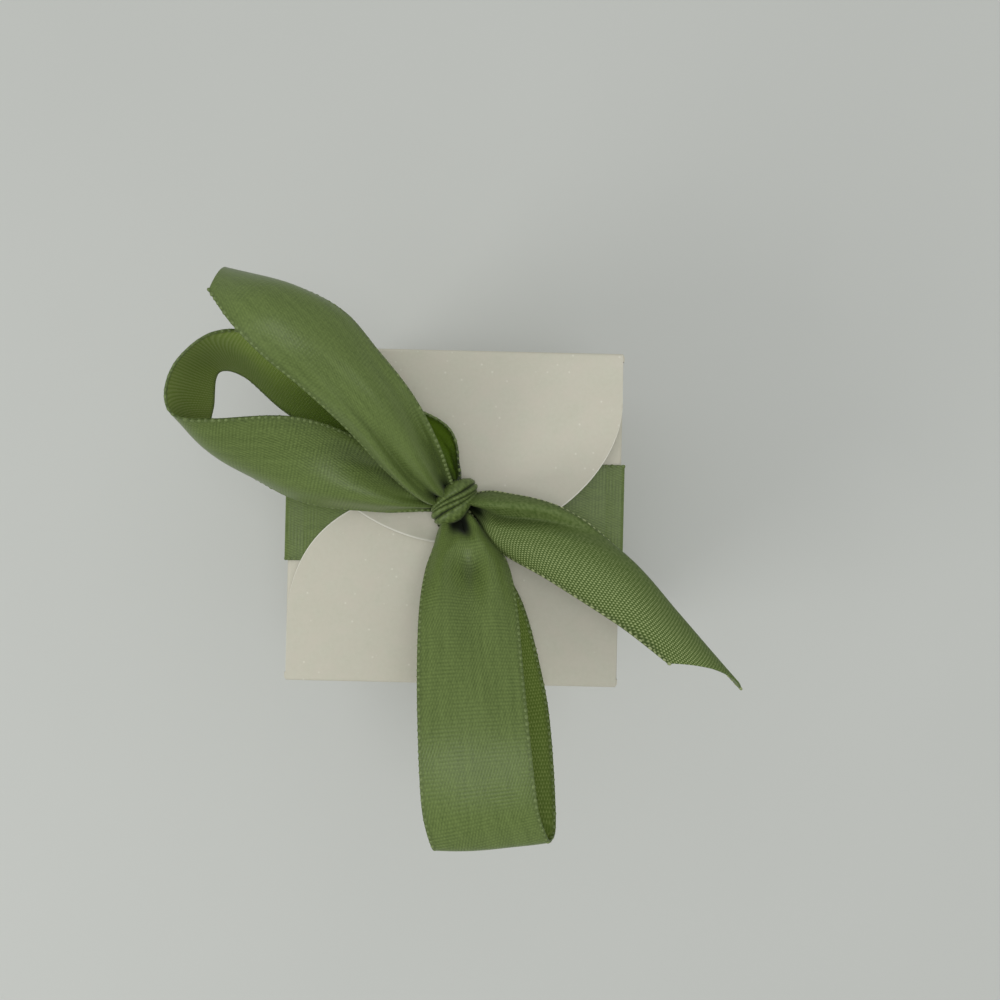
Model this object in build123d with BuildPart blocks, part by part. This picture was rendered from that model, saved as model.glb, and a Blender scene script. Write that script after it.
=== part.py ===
from build123d import *
from math import cos, radians, sin
import os

# Favor box: a folded card cube, closed by two half-round flaps, with a satin ribbon tied over it.
# Millimetres, +Z up. The origin is the middle of the ribbon's underside, where the box stands.
# +X is the right of the photo, +Y its top (the rear of the box).

BOX_SIDE = 55.0  # outer width, depth and height of the card cube
CARD = 0.4  # card thickness
GAP = 0.05  # air between two layers that lie on each other
RIBBON_WIDTH = 15.4
RIBBON = 0.3  # ribbon thickness
CROSS_LINES = 3  # cross lines to each given row of the bow

FLAP_STRAIGHT = 8.7  # straight sides of a half-round flap, before its curve
FLAP_PAST = 4.4  # how far the curve reaches past the middle of the box
RIBBON_HOLE = 3.0  # radius of the punched hole that the ribbon comes up through
INNER_REACH = 18.0  # how far a side flap reaches over the box's mouth
INNER_END_GAP = 0.9  # side flap's hinge edge to the front and rear walls, at each end
INNER_CORNER = 3.0
TAB_WIDTH = 10.0  # glued corner tabs
TAB_FOOT = 2.25  # tab's lower end above the base
TAB_TOP = 4.9  # tab's upper end below the side flaps
TAB_SLOPE = 4.0

WRAP_TURN = 0.15  # how far the ribbon round the box turns over a side crease
LEAD_START = 0.6  # from a side flap's crease to its own stretch of ribbon
LEAD_GATHER = 7.2  # length over which it gathers to its tip
LEAD_TIP = 1.1  # tip to the middle of the box
LEAD_TIP_WIDTH = 4.0
THROAT_RADIUS = 2.3  # ribbon gathered up in the hole
THROAT_RISE = 1.2  # over the flap, up round the knot

KNOT_X, KNOT_Y = 0.3, 2.0
KNOT_HALF_LENGTH = 4.4
KNOT_RADIUS = 3.4
KNOT_END_RADIUS = 2.0
KNOT_TURN = 42.0  # the wrap runs from lower left to upper right

# Heights of the layers, from the table up
half = BOX_SIDE / 2
crease = half - CARD / 2  # creases run along the middle of each wall
base_z = RIBBON + GAP
wall_z = base_z + CARD
top_z = base_z + BOX_SIDE
rear_z = top_z - CARD / 2
front_z = rear_z - CARD - GAP
lead_z = front_z - CARD / 2 - GAP - RIBBON
inner_z = lead_z - GAP - CARD / 2
crease_clear = CARD / 2 + GAP  # a flap starts this far from its crease
curve_y = half - FLAP_STRAIGHT  # where a flap's straight sides end

# Bow: each row is a cross line of the ribbon, from edge to edge, with the height of its arch.
# Points are x, y and height over the box's top.
LEFT_LOOP = [
    ((0.6, 6.8, 5.0), (-0.8, 4.8, 2.5), 0.3),
    ((-2.0, 14.5, 9.0), (-8.8, 8.0, 2.5), 2.4),
    ((-15.5, 19.5, 13.5), (-19.5, 11.5, 2.0), 1.5),
    ((-26.5, 24.0, 17.5), (-27.5, 16.5, 4.0), 0.8),
    ((-34.2, 26.8, 20.0), (-33.5, 20.6, 5.5), 0.8),
    ((-39.5, 22.5, 20.5), (-37.8, 20.6, 5.5), 0.8),
    ((-41.2, 17.8, 20.5), (-39.2, 17.2, 5.3), 0.8),
    ((-39.6, 14.4, 19.5), (-39.2, 12.2, 4.5), 0.8),
    ((-34.6, 13.0, 18.0), (-34.2, 7.2, 4.2), 1.2),
    ((-24.0, 13.6, 15.5), (-24.3, 2.2, 5.5), 1.0),
    ((-15.5, 12.0, 11.0), (-13.1, 0.8, 5.0), 2.0),
    ((-4.6, 4.4, 4.6), (-3.6, 1.2, 3.8), 0.3),
]
FRONT_LOOP = [
    ((3.0, -0.8, 4.6), (0.4, -1.4, 4.6), 0.3),
    ((8.3, -6.8, 9.0), (-2.7, -7.0, 9.0), 3.0),
    ((10.5, -13.5, 14.0), (-4.0, -13.8, 15.0), 1.4),
    ((11.4, -21.7, 19.0), (-3.8, -22.0, 20.0), 0.6),
    ((12.5, -30.8, 23.0), (-3.0, -31.0, 24.0), 0.4),
    ((13.6, -38.8, 25.0), (-1.9, -39.2, 26.0), 0.4),
    ((15.5, -45.0, 21.5), (0.0, -46.4, 22.5), 0.4),
    ((16.8, -40.8, 17.0), (1.5, -42.4, 17.5), 0.4),
    ((15.8, -32.2, 13.5), (0.5, -33.4, 13.5), 0.6),
    ((14.5, -24.7, 9.5), (-0.5, -25.0, 9.5), 0.8),
    ((11.0, -13.5, 5.0), (0.2, -13.2, 5.0), 1.6),
    ((4.2, -2.2, 2.4), (1.6, -2.6, 2.4), 0.3),
]
LEFT_TAIL = [
    ((-3.4, 2.6, 6.0), (-1.2, 5.2, 6.4), 0.3),
    ((-10.0, 7.0, 12.0), (-3.0, 11.3, 11.5), 3.6),
    ((-15.0, 12.8, 17.5), (-6.2, 17.6, 15.5), 3.6),
    ((-20.8, 18.2, 22.0), (-11.0, 24.5, 17.5), 3.0),
    ((-25.8, 22.2, 25.0), (-15.5, 29.4, 19.0), 3.0),
    ((-30.0, 26.4, 26.0), (-22.5, 33.0, 18.5), 3.0),
    ((-34.0, 31.4, 24.0), (-34.0, 37.0, 13.0), 2.0),
]
RIGHT_TAIL = [
    ((3.6, 3.4, 4.2), (3.5, 1.4, 4.2), 0.3),
    ((8.6, 4.0, 7.5), (7.7, -5.0, 8.5), 3.6),
    ((17.0, 2.0, 10.0), (15.0, -9.0, 13.0), 3.8),
    ((25.8, -4.0, 11.0), (24.5, -14.5, 15.5), 3.8),
    ((35.0, -13.5, 10.0), (31.0, -19.0, 15.0), 3.8),
    ((46.0, -25.5, 7.5), (33.2, -20.8, 14.5), 3.0),
]


def wall(section, length, height):
    """Wall with a rounded top edge, which is the crease that its flap turns on."""
    with BuildPart() as panel:
        with BuildSketch(section):
            with Locations((0, (wall_z + height) / 2)):
                Rectangle(CARD, height - wall_z)
            with Locations((0, height)):
                Circle(CARD / 2)
        extrude(amount=length / 2, both=True)
    return panel


def corner_tab(side, end):
    """Glued tab that folds from a side wall onto the inside of the front (-1) or rear (1) wall."""
    inside = half - CARD
    tip = inside - TAB_WIDTH
    low, high = wall_z + TAB_FOOT, inner_z - TAB_TOP
    with BuildPart() as tab:
        with BuildSketch(Plane((0, end * inside, 0), x_dir=(1, 0, 0), z_dir=(0, -1, 0))):
            with BuildLine():
                Polyline((side * inside, low), (side * tip, low + TAB_SLOPE),
                         (side * tip, high - TAB_SLOPE), (side * inside, high), close=True)
            make_face()
        extrude(amount=end * CARD)
    return tab


def inner_flap(side):
    """Side flap with mitred ends, hinged on the left (side -1) or the right (side 1)."""
    start = crease - crease_clear
    tip = start - INNER_REACH
    wide = half - CARD - INNER_END_GAP
    narrow = wide - INNER_REACH
    with BuildPart() as flap:
        with BuildSketch(Plane.XY.offset(inner_z - CARD / 2)) as outline:
            with BuildLine():
                Polyline((side * start, -wide), (side * tip, -narrow), (side * tip, narrow),
                         (side * start, wide), close=True)
            make_face()
            fillet(outline.vertices().sort_by(Axis.X, reverse=side < 0)[:2], INNER_CORNER)
        extrude(amount=CARD)
    return flap


def outer_flap(level, side):
    """Half-round flap hinged at the rear (side 1) or the front (side -1), with its ribbon hole."""
    start = crease - crease_clear
    with BuildPart() as flap:
        with BuildSketch(Plane.XY.offset(level - CARD / 2)):
            with Locations((0, side * curve_y)):
                Ellipse(half, curve_y + FLAP_PAST)
            with Locations((0, side * (start + curve_y) / 2)):
                Rectangle(BOX_SIDE, start - curve_y)
            with Locations((0, side * (start + half))):
                Rectangle(2 * BOX_SIDE, BOX_SIDE, mode=Mode.SUBTRACT)
            Circle(RIBBON_HOLE, mode=Mode.SUBTRACT)
        extrude(amount=CARD)
    return flap


def lead(side):
    """Ribbon over one side flap, gathered to a narrow end under the hole."""
    wide, narrow = RIBBON_WIDTH / 2, LEAD_TIP_WIDTH / 2
    start, full, tip = side * (crease - LEAD_START), side * (LEAD_TIP + LEAD_GATHER), side * LEAD_TIP
    with BuildPart() as strip:
        with BuildSketch(Plane.XY.offset(lead_z)):
            with BuildLine():
                Polyline((start, -wide), (full, -wide), (tip, -narrow), (tip, narrow),
                         (full, wide), (start, wide), close=True)
            make_face()
        extrude(amount=RIBBON)
    return strip


def smooth(rows):
    """Put more cross lines between the given ones, on a curve that passes through them all."""
    flat = [(*a, *b, rise) for a, b, rise in rows]
    flat = [flat[0], *flat, flat[-1]]
    lines = []
    for before, here, there, after in zip(flat, flat[1:], flat[2:], flat[3:]):
        for step in range(CROSS_LINES):
            t = step / CROSS_LINES
            lines.append([
                q + t * (r - p + t * (2 * p - 5 * q + 4 * r - s + t * (3 * q - p - 3 * r + s))) / 2
                for p, q, r, s in zip(before, here, there, after)])
    return lines + [flat[-1]]


def bow_ribbon(rows):
    """Loft the thin arched cross lines of one stretch of the bow, up to the knot's surface."""
    lift = Vector(0, 0, top_z)
    edges = [(Vector(*v[0:3]) + lift, Vector(*v[3:6]) + lift, v[6]) for v in smooth(rows)]
    middles = [(a + b) * 0.5 for a, b, rise in edges]
    with BuildPart() as strip:
        for i, (a, b, rise) in enumerate(edges):
            across = (b - a).normalized()
            along = middles[min(i + 1, len(edges) - 1)] - middles[max(i - 1, 0)]
            along = (along - across * along.dot(across)).normalized()
            chord, thick = (b - a).length / 2, RIBBON / 2
            with BuildSketch(Plane(middles[i], x_dir=across, z_dir=along)):
                with BuildLine():
                    outer = ThreePointArc((-chord, -thick), (0, -rise - thick), (chord, -thick))
                    inner = ThreePointArc((-chord, thick), (0, thick - rise), (chord, thick))
                    Line(outer @ 0, inner @ 0)
                    Line(outer @ 1, inner @ 1)
                make_face()
        loft(ruled=True)
        add(bow_knot.part, mode=Mode.SUBTRACT)
    return strip


# Card: the base and its four walls, creased from one blank
with BuildPart() as base_panel:
    with BuildSketch(Plane.XY.offset(base_z)):
        Rectangle(BOX_SIDE, BOX_SIDE)
    extrude(amount=CARD)
    fillet(base_panel.faces().sort_by(Axis.Z)[0].edges(), CARD / 2)

front_wall = wall(Plane((0, -crease, 0), x_dir=(0, 1, 0), z_dir=(1, 0, 0)), BOX_SIDE, front_z)
rear_wall = wall(Plane((0, crease, 0), x_dir=(0, 1, 0), z_dir=(1, 0, 0)), BOX_SIDE, rear_z)
left_wall = wall(Plane((-crease, 0, 0), x_dir=(1, 0, 0), z_dir=(0, -1, 0)), BOX_SIDE - 2 * CARD, inner_z)
right_wall = wall(Plane((crease, 0, 0), x_dir=(1, 0, 0), z_dir=(0, -1, 0)), BOX_SIDE - 2 * CARD, inner_z)

# Card: the tabs that hold the four corners
front_left_tab = corner_tab(-1, -1)
front_right_tab = corner_tab(1, -1)
rear_left_tab = corner_tab(-1, 1)
rear_right_tab = corner_tab(1, 1)

# Card: the four flaps over the mouth
left_inner_flap = inner_flap(-1)
right_inner_flap = inner_flap(1)
front_flap = outer_flap(front_z, -1)
rear_flap = outer_flap(rear_z, 1)

# Ribbon: round the outside of the box, from one side crease to the other. It ends as it starts to
# turn over the crease, so that the side flaps are free to rise.
with BuildPart() as ribbon_wrap:
    bend_outer, bend_inner = CARD / 2 + GAP + RIBBON, CARD / 2 + GAP
    wide, tall = 2 * (crease + bend_outer), inner_z + bend_outer
    with BuildSketch(Plane((0, 0, 0), x_dir=(1, 0, 0), z_dir=(0, -1, 0))):
        with Locations((0, tall / 2)):
            RectangleRounded(wide, tall, bend_outer)
            RectangleRounded(wide - 2 * RIBBON, tall - 2 * RIBBON, bend_inner, mode=Mode.SUBTRACT)
        with Locations((0, inner_z + WRAP_TURN + bend_outer)):
            Rectangle(2 * wide, 2 * bend_outer, mode=Mode.SUBTRACT)
    extrude(amount=RIBBON_WIDTH / 2, both=True)

ribbon_left_lead = lead(-1)
ribbon_right_lead = lead(1)

# Ribbon: tied into the bow, with the gathered throat that comes up to the knot through the hole
with BuildPart() as bow_knot:
    middle = Vector(KNOT_X, KNOT_Y, top_z + GAP + KNOT_RADIUS)
    run = Vector(cos(radians(KNOT_TURN)), sin(radians(KNOT_TURN)), 0)
    with BuildSketch(Plane(middle, x_dir=run, z_dir=(0, 0, 1))):
        with BuildLine():
            barrel = ThreePointArc((-KNOT_HALF_LENGTH, KNOT_END_RADIUS), (0, KNOT_RADIUS),
                                   (KNOT_HALF_LENGTH, KNOT_END_RADIUS))
            Polyline(barrel @ 0, (-KNOT_HALF_LENGTH, 0), (KNOT_HALF_LENGTH, 0), barrel @ 1)
        make_face()
    revolve(axis=Axis(middle, run))

with BuildPart() as bow_throat:
    with BuildSketch(Plane.XY.offset(lead_z + RIBBON + GAP)):
        Circle(THROAT_RADIUS)
    extrude(amount=top_z + THROAT_RISE - lead_z - RIBBON - GAP)
    add(bow_knot.part, mode=Mode.SUBTRACT)

bow_left_loop = bow_ribbon(LEFT_LOOP)
bow_front_loop = bow_ribbon(FRONT_LOOP)
bow_left_tail = bow_ribbon(LEFT_TAIL)
bow_right_tail = bow_ribbon(RIGHT_TAIL)

os.makedirs("parts", exist_ok=True)

base_panel.part.label = "base_panel"
export_step(base_panel.part, "parts/base_panel.step")
front_wall.part.label = "front_wall"
export_step(front_wall.part, "parts/front_wall.step")
rear_wall.part.label = "rear_wall"
export_step(rear_wall.part, "parts/rear_wall.step")
left_wall.part.label = "left_wall"
export_step(left_wall.part, "parts/left_wall.step")
right_wall.part.label = "right_wall"
export_step(right_wall.part, "parts/right_wall.step")
front_left_tab.part.label = "front_left_tab"
export_step(front_left_tab.part, "parts/front_left_tab.step")
front_right_tab.part.label = "front_right_tab"
export_step(front_right_tab.part, "parts/front_right_tab.step")
rear_left_tab.part.label = "rear_left_tab"
export_step(rear_left_tab.part, "parts/rear_left_tab.step")
rear_right_tab.part.label = "rear_right_tab"
export_step(rear_right_tab.part, "parts/rear_right_tab.step")
left_inner_flap.part.label = "left_inner_flap"
export_step(left_inner_flap.part, "parts/left_inner_flap.step")
right_inner_flap.part.label = "right_inner_flap"
export_step(right_inner_flap.part, "parts/right_inner_flap.step")
front_flap.part.label = "front_flap"
export_step(front_flap.part, "parts/front_flap.step")
rear_flap.part.label = "rear_flap"
export_step(rear_flap.part, "parts/rear_flap.step")
ribbon_wrap.part.label = "ribbon_wrap"
export_step(ribbon_wrap.part, "parts/ribbon_wrap.step")
ribbon_left_lead.part.label = "ribbon_left_lead"
export_step(ribbon_left_lead.part, "parts/ribbon_left_lead.step")
ribbon_right_lead.part.label = "ribbon_right_lead"
export_step(ribbon_right_lead.part, "parts/ribbon_right_lead.step")
bow_throat.part.label = "bow_throat"
export_step(bow_throat.part, "parts/bow_throat.step")
bow_knot.part.label = "bow_knot"
export_step(bow_knot.part, "parts/bow_knot.step")
bow_left_loop.part.label = "bow_left_loop"
export_step(bow_left_loop.part, "parts/bow_left_loop.step")
bow_front_loop.part.label = "bow_front_loop"
export_step(bow_front_loop.part, "parts/bow_front_loop.step")
bow_left_tail.part.label = "bow_left_tail"
export_step(bow_left_tail.part, "parts/bow_left_tail.step")
bow_right_tail.part.label = "bow_right_tail"
export_step(bow_right_tail.part, "parts/bow_right_tail.step")
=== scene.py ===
import math

import bmesh
import bpy
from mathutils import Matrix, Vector, noise


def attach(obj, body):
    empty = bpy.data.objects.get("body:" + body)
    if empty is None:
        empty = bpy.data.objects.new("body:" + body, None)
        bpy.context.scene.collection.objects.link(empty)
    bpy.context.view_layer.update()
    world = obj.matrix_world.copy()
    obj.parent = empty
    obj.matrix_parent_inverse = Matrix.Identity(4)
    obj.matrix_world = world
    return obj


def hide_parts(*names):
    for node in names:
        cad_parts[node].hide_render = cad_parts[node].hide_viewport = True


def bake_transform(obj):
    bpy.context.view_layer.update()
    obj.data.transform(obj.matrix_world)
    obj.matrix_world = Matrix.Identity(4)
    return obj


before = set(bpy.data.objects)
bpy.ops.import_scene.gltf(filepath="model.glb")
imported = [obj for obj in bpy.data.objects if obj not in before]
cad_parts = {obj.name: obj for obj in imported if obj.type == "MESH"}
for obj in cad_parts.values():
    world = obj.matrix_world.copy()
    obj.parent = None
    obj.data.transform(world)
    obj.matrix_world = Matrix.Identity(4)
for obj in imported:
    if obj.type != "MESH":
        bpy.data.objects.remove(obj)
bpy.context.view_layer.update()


# Box: base and four walls of ivory card, creased from one blank and glued at the corners.
# The fold at each upright corner is a small round, and the top edge stops just under the creases,
# where the flaps carry on.

MM = 0.001
CARD_THICK = 0.4 * MM
HALF = 27.5 * MM  # half the box's outer width
BASE_LOW = 0.35 * MM  # the ribbon runs under the base
REAR_CREASE, FRONT_CREASE, SIDE_CREASE = 55.15 * MM, 54.70 * MM, 53.90 * MM
STRIP = 1.4 * MM  # the flaps' skins start this far under their creases
CORNER_ROUND, CORNER_STEPS = 0.7 * MM, 6
INNER_ROUND = 0.15 * MM  # least round of a corner, on the walls' insides
FOOT_ROUND, FOOT_STEPS = 0.5 * MM, 4
WALL_LEVELS = (5, 15, 30, 45)  # heights of the walls' rings of points, mm
SIDE_FLAP_HALF = 26.2 * MM  # half the length of a side flap's crease
FLAP_END = 0.02 * MM  # between the two points of a ring where a side flap ends
ON_FACE = 0.001 * MM  # a point nearer than this to a wall's face is on it
UNDER_FLAP = CARD_THICK / 2 + 0.05 * MM  # from a crease to the bare corner's top
HARD_EDGE = 40  # degrees between faces from which card shows a hard edge
CLOUD, BLOTCH, FELT, SPECKS = 90.0, 330.0, 1500.0, 700.0  # scales of the card's patterns
SPECKED = 0.62  # cells whose random tone is above this carry a speck
IVORY = (0.535, 0.525, 0.435, 1)
IVORY_DEEP = (0.48, 0.465, 0.375, 1)
IVORY_BLUSH = (0.54, 0.498, 0.42, 1)
CUT_EDGE = (0.68, 0.665, 0.585, 1)


class Shade:
    """A socket of a material. Sums and products of sockets and numbers add Math nodes."""

    def __init__(self, socket):
        self.socket = socket
        self.tree = socket.id_data

    def node(self, kind, settings, inputs, output=0):
        """Add a node: its settings first, then the values or links of its sockets."""
        made = self.tree.nodes.new(kind)
        for key, value in settings.items():
            setattr(made, key, value)
        for key, value in inputs.items():
            if isinstance(value, Shade):
                self.tree.links.new(value.socket, made.inputs[key])
            else:
                made.inputs[key].default_value = value
        return Shade(made.outputs[output])

    def math(self, operation, first, second=0.0):
        return self.node("ShaderNodeMath", {"operation": operation}, {0: first, 1: second})

    def mix(self, factor, low, high):
        return self.node("ShaderNodeMix", {"data_type": "RGBA"}, {0: factor, 6: low, 7: high}, 2)

    def mottle(self, scale, detail, roughness=0.5):
        """Noise over these coordinates."""
        return self.node("ShaderNodeTexNoise", {},
                         {"Vector": self, "Scale": scale, "Detail": detail, "Roughness": roughness})

    def stretched(self, scale, turn=0.0):
        """These coordinates, turned and scaled."""
        return self.node("ShaderNodeMapping", {"vector_type": "POINT"},
                         {0: self, 2: (0, 0, turn), 3: scale})

    def bump(self, strength, distance):
        """The normal of a surface with these heights."""
        return self.node("ShaderNodeBump", {},
                         {"Strength": strength, "Distance": distance, "Height": self})

    def __add__(self, other):
        return self.math("ADD", self, other)

    def __radd__(self, other):
        return self.math("ADD", other, self)

    def __sub__(self, other):
        return self.math("SUBTRACT", self, other)

    def __rsub__(self, other):
        return self.math("SUBTRACT", other, self)

    def __mul__(self, other):
        return self.math("MULTIPLY", self, other)

    def __rmul__(self, other):
        return self.math("MULTIPLY", other, self)

    def sin(self):
        return self.math("SINE", self)

    def clamp(self):
        return self.node("ShaderNodeClamp", {}, {0: self})


def new_material(name):
    """Return a material, its shader node and a socket to start expressions from."""
    made = bpy.data.materials.new(name)
    made.use_nodes = True
    shader = made.node_tree.nodes["Principled BSDF"]
    place = made.node_tree.nodes.new("ShaderNodeTexCoord")
    return made, shader, Shade(place.outputs["Object"])


def link(shader, **inputs):
    for name, value in inputs.items():
        shader.id_data.links.new(value.socket, shader.inputs[name.replace("_", " ")])


def card_material():
    """Ivory card with a felt grain, soft blotches, a few pale specks and lighter cut edges."""
    made, shader, place = new_material("ivory_card")
    cloud = place.mottle(CLOUD, 3.0)
    blotch = place.mottle(BLOTCH, 3.0)
    felt = place.mottle(FELT, 4.0, 0.65)
    cell = place.node("ShaderNodeTexVoronoi", {}, {"Vector": place, "Scale": SPECKS})
    chosen = place.math("GREATER_THAN", Shade(cell.socket.node.outputs["Color"]), SPECKED)
    speck = (1.0 - cell * 6.0).clamp() * chosen
    edge = place.node("ShaderNodeAttribute", {"attribute_name": "cut_edge"}, {}, 2)
    colour = place.mix((cloud * 0.7 + felt * 1.1 - 0.4).clamp(), IVORY_DEEP, IVORY)
    colour = place.mix((blotch * 1.8 - 0.55).clamp() * 0.8, colour, IVORY_BLUSH)
    colour = place.mix(speck * 0.8, colour, CUT_EDGE)
    colour = place.mix(edge, colour, CUT_EDGE)
    relief = blotch * 1.2 + felt * 0.5 + speck * 0.3
    shader.inputs["Specular IOR Level"].default_value = 0.4
    link(shader, Base_Color=colour, Roughness=0.62 - felt * 0.2, Normal=relief.bump(0.3, 0.06 * MM))
    return made


def piece(name, points, faces, materials, face_slots=None):
    """Make an object at the origin from points in metres."""
    mesh = bpy.data.meshes.new(name)
    mesh.from_pydata(points, [], faces)
    for material in materials:
        mesh.materials.append(material)
    if face_slots:
        mesh.polygons.foreach_set("material_index", face_slots)
    mesh.polygons.foreach_set("use_smooth", [True] * len(faces))
    made = bpy.data.objects.new(name, mesh)
    bpy.context.collection.objects.link(made)
    return made


def sharpen(made, degrees):
    made.data.set_sharp_from_angle(angle=math.radians(degrees))


def wall_at(place, reach):
    """The wall that a point belongs to, or the bare corner past a side flap's end."""
    if reach - abs(place.y) < ON_FACE:
        return "front" if place.y < 0 else "rear"
    if abs(place.y) > SIDE_FLAP_HALF + FLAP_END / 2:
        return "front_corner" if place.y < 0 else "rear_corner"
    return "left" if place.x < 0 else "right"


def corner_ring(inset):
    """Points round the box at an inset from its outer faces."""
    radius = max(CORNER_ROUND - inset, INNER_ROUND)
    reach = HALF - inset
    straight = reach - radius
    ring = []
    for along in ((1, 0, 0), (0, 1, 0), (-1, 0, 0), (0, -1, 0)):
        along = Vector(along)
        out = Vector((along.y, -along.x, 0))
        stops = [SIDE_FLAP_HALF * f for f in (-1, -0.5, 0, 0.5, 1)]
        for stop in (-SIDE_FLAP_HALF - FLAP_END, *stops, SIDE_FLAP_HALF + FLAP_END):
            ring.append(along * stop + out * reach)
        for step in range(CORNER_STEPS + 1):
            angle = math.radians(90 * step / CORNER_STEPS)
            ring.append(along * (straight + radius * math.sin(angle))
                        + out * (straight + radius * math.cos(angle)))
    return ring


card = card_material()
tops = {"front": FRONT_CREASE - STRIP, "rear": REAR_CREASE - STRIP, "left": SIDE_CREASE - STRIP,
        "right": SIDE_CREASE - STRIP, "front_corner": FRONT_CREASE - UNDER_FLAP,
        "rear_corner": REAR_CREASE - UNDER_FLAP}
# Inset and height of each ring, from the foot up the outside, over the top edge and down the inside
rings = []
for step in range(FOOT_STEPS + 1):
    angle = math.radians(90 * step / FOOT_STEPS)
    rings.append((FOOT_ROUND * (1 - math.sin(angle)), BASE_LOW + FOOT_ROUND * (1 - math.cos(angle))))
rings += [(0, level * MM) for level in WALL_LEVELS]
rings += [(0, None), (CARD_THICK, None)]
rings += [(CARD_THICK, level * MM) for level in reversed(WALL_LEVELS)]
rings.append((CARD_THICK, BASE_LOW + CARD_THICK))
points, faces = [], []
for inset, level in rings:
    for place in corner_ring(inset):
        height = tops[wall_at(place, HALF - inset)] if level is None else level
        points.append((place.x, place.y, height))
count = len(points) // len(rings)
for ring in range(len(rings) - 1):
    for column in range(count):
        a, b = ring * count + column, ring * count + (column + 1) % count
        faces.append((a, b, b + count, a + count))
faces.append(tuple(reversed(range(count))))
faces.append(tuple(range(len(points) - count, len(points))))
box_shell = piece("box_shell", points, faces, [card])
sharpen(box_shell, HARD_EDGE)
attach(box_shell, "box")
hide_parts("base_panel", "front_wall", "rear_wall", "left_wall", "right_wall")


# Corner tabs: glue tabs of the same blank, stuck to the insides of the front and rear walls.
# They show only when the box is open, and keep their drawn shape.

for name in ("front_left_tab", "front_right_tab", "rear_left_tab", "rear_right_tab"):
    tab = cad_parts[name]
    tab.data.materials.clear()
    tab.data.materials.append(card)


# Side flaps: the two dust flaps that fold in first, with mitred ends.
# Each is one piece of card with the top of its wall, and bends along the crease.

ROLL = 0.6 * MM  # outer round of a folded crease
SIDE_REACH = 18.45 * MM  # from the wall's outer face to the flap's free edge
TIP_ROUND = 1.5 * MM
FLAP_ROWS, FLAP_COLUMNS, CREASE_STEPS = 26, 72, 6
ROW_CROWDING = 1.6  # how much closer the rows lie towards a flap's free edge
# The last rows round off a flap's cut edge: how far each is in from it, and its drop on the upper face
RIM = ((0.22 * MM, 0.0), (0.06 * MM, 0.03 * MM), (0.0, 0.14 * MM))


def crease_profile(crease, along, end):
    """Points of a creased flap's upper face: distance in from the wall's face, height, the way to its
    lower face as out and up, and the drop of a rounded edge."""
    top, low = crease + CARD_THICK / 2, crease - STRIP
    line = [(0.0, low, 1, 0, 0), (0.0, (low + top - ROLL) / 2, 1, 0, 0)]
    for step in range(CREASE_STEPS + 1):
        angle = math.radians(90 * step / CREASE_STEPS)
        out, up = math.cos(angle), math.sin(angle)
        line.append((ROLL * (1 - out), top - ROLL + ROLL * up, out, up, 0))
    even_end = end - 1.5 * RIM[0][0]
    for step in along:
        line.append((ROLL + (even_end - ROLL) * step, top, 0, 1, 0))
    for pull, drop in RIM:
        line.append((end - pull, top, 0, 1, drop))
    return line


def creased_flap(name, crease, facing, outline, lift):
    """Make a flap with the top strip of its wall.

    facing turns (across, in from the wall) into x and y. outline gives, for a share across from -1 to 1,
    the place across at the crease and at a share of the way in, and how far in the flap ends there.
    lift raises the flap's skin at a place, for the slight curl of used card.
    """
    along = [1 - (1 - step / FLAP_ROWS) ** ROW_CROWDING for step in range(1, FLAP_ROWS + 1)]
    ways = [0.0] * (CREASE_STEPS + 3) + along + [1.0] * len(RIM)
    rows = len(ways)
    points, edge = [], []
    for column in range(FLAP_COLUMNS + 1):
        share = -1 + 2 * column / FLAP_COLUMNS
        profile = crease_profile(crease, along, outline(share, 0)[1])
        for layer in (0, 1):
            for row, (inward, height, out, up, drop) in enumerate(profile):
                depth = CARD_THICK * layer
                x, y = facing(outline(share, ways[row])[0], inward + depth * out)
                raised = lift(x, y) * min(1, ways[row] * 2) - drop * (1 - layer)
                points.append((x, y, height - depth * up + raised))
                rim = row >= rows - len(RIM) or (ways[row] > 0 and abs(share) == 1)
                edge.append(1.0 if rim and layer == 0 else 0.0)
    faces = []
    for column in range(FLAP_COLUMNS):
        for row in range(rows - 1):
            a, b = 2 * rows * column + row, 2 * rows * (column + 1) + row
            faces.append((a, b, b + 1, a + 1))
            faces.append((a + rows, a + rows + 1, b + rows + 1, b + rows))
        a, b = 2 * rows * column, 2 * rows * (column + 1)
        faces.append((a, a + rows, b + rows, b))
        faces.append((a + rows - 1, b + rows - 1, b + 2 * rows - 1, a + 2 * rows - 1))
    for column, turned in ((0, False), (FLAP_COLUMNS, True)):
        for row in range(rows - 1):
            a = 2 * rows * column + row
            side = (a, a + 1, a + rows + 1, a + rows)
            faces.append(tuple(reversed(side)) if turned else side)
    made = piece(name, points, faces, [card])
    mesh = bmesh.new()
    mesh.from_mesh(made.data)
    bmesh.ops.recalc_face_normals(mesh, faces=mesh.faces)
    mesh.to_mesh(made.data)
    mesh.free()
    made.data.attributes.new("cut_edge", "FLOAT", "POINT").data.foreach_set("value", edge)
    sharpen(made, HARD_EDGE)
    return made


def side_outline(share, way):
    """Mitred flap: narrower towards its free edge, where the corners are round."""
    inward = ROLL + (SIDE_REACH - ROLL) * way
    left = (SIDE_REACH - inward) / TIP_ROUND
    round_off = TIP_ROUND * (1 - math.sqrt(1 - (1 - left) ** 2)) if left < 1 else 0
    return share * (SIDE_FLAP_HALF - (inward - ROLL) - round_off), SIDE_REACH


def bend_with_crease(made):
    """Bake a piece's placement into its points."""
    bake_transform(made)


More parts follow.
